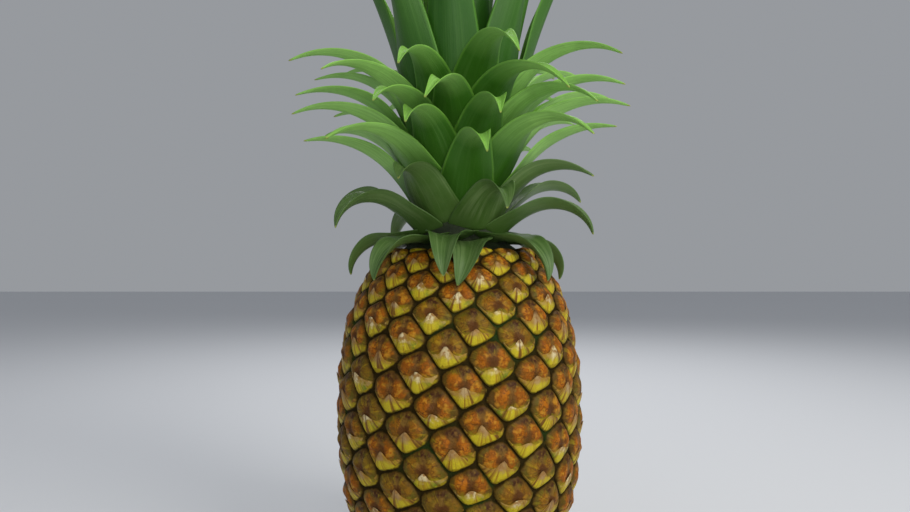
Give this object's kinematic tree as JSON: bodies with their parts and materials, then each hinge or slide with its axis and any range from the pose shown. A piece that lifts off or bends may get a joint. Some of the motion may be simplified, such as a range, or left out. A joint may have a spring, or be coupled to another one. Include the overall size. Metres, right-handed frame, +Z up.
{
  "type": "pineapple",
  "caption": "Fresh whole pineapple with a barrel-shaped, spirally eyed fruit and a spiky leafy crown, standing on its flat base.",
  "frame": {"origin": "middle of the flat cut face of the stalk, in the plane that the fruit stands on", "axes": "+Z up through the fruit and its crown; -Y is the side that the picture shows, and +X is to its right"},
  "size_m": [0.1632, 0.1632, 0.3691],
  "materials": {
    "rind": "tough, slightly waxy rind: orange-brown eyes with yellow-green bract feet and dark olive grooves",
    "stalk": "pale, dry, fibrous cut through the fruit's stalk",
    "leaf": "stiff, smooth leaf: bright yellow-green inner faces, darker grey-green outer faces, fine lengthwise veins"
  },
  "bodies": {
    "root": {"fruit": "rind", "stalk_end": "stalk", "crown": "leaf"}
  },
  "joints": []
}
